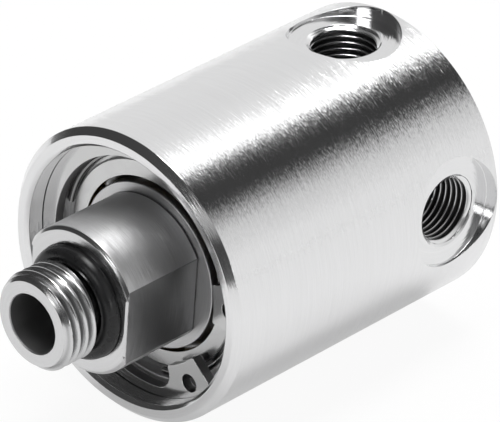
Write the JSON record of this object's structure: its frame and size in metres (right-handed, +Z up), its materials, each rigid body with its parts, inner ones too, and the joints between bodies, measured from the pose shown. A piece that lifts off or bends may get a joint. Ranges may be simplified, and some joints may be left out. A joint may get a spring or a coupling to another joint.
{
  "type": "hydraulic rotary distributor",
  "caption": "Cylindrical hydraulic rotary distributor: a threaded hollow spindle on ball bearings feeds radial threaded outlet ports in a turning housing.",
  "frame": {"origin": "on the spindle's axis, in the middle of the inlet thread", "axes": "-Y points out of the threaded stud, +Y runs into the housing, +Z is up along the axis of the top outlet port"},
  "size_m": [0.04, 0.0646, 0.04],
  "materials": {
    "turned_body": "turned and brushed around the axis",
    "ground_spindle": "ground",
    "bearing_steel": "ground and polished",
    "shield_steel": "pressed sheet, satin",
    "wire_steel": "drawn wire",
    "ring_steel": "stamped spring steel, tumbled",
    "spacer_steel": "turned",
    "cage_brass": "machined",
    "seal_rubber": "matt nitrile rubber"
  },
  "bodies": {
    "spindle": {"spindle": "ground_spindle", "stud_o_ring": "seal_rubber", "front_bearing_inner_ring": "bearing_steel", "rear_bearing_inner_ring": "bearing_steel", "inner_spacer": "spacer_steel", "shaft_retaining_ring": "ring_steel"},
    "housing": {"housing": "turned_body", "front_retaining_ring": "ring_steel", "outer_spacer": "spacer_steel", "seal_retaining_ring": "ring_steel", "seal_backing_washer": "spacer_steel", "seal_case": "shield_steel", "seal_lip": "seal_rubber", "seal_spring": "wire_steel", "front_bearing_outer_ring": "bearing_steel", "front_bearing_front_shield": "shield_steel", "front_bearing_rear_shield": "shield_steel", "front_bearing_front_wire": "wire_steel", "front_bearing_rear_wire": "wire_steel", "rear_bearing_outer_ring": "bearing_steel", "rear_bearing_front_shield": "shield_steel", "rear_bearing_rear_shield": "shield_steel", "rear_bearing_front_wire": "wire_steel", "rear_bearing_rear_wire": "wire_steel"},
    "front_cage": {"front_bearing_cage": "cage_brass", "front_bearing_balls": "bearing_steel"},
    "rear_cage": {"rear_bearing_cage": "cage_brass", "rear_bearing_balls": "bearing_steel"}
  },
  "joints": [
    {"name": "housing_spin", "type": "hinge", "parent": "spindle", "child": "housing", "pos_m": [0, 0.0372, 0], "axis": [0, 1, 0], "continuous": true},
    {"name": "front_cage_spin", "type": "hinge", "parent": "spindle", "child": "front_cage", "pos_m": [0, 0.02225, 0], "axis": [0, 1, 0], "continuous": true},
    {"name": "rear_cage_spin", "type": "hinge", "parent": "spindle", "child": "rear_cage", "pos_m": [0, 0.03425, 0], "axis": [0, 1, 0], "continuous": true}
  ],
  "couplings": [
    {"joint": "front_cage_spin", "follows": "housing_spin", "ratio": 0.59156},
    {"joint": "rear_cage_spin", "follows": "housing_spin", "ratio": 0.59156}
  ]
}
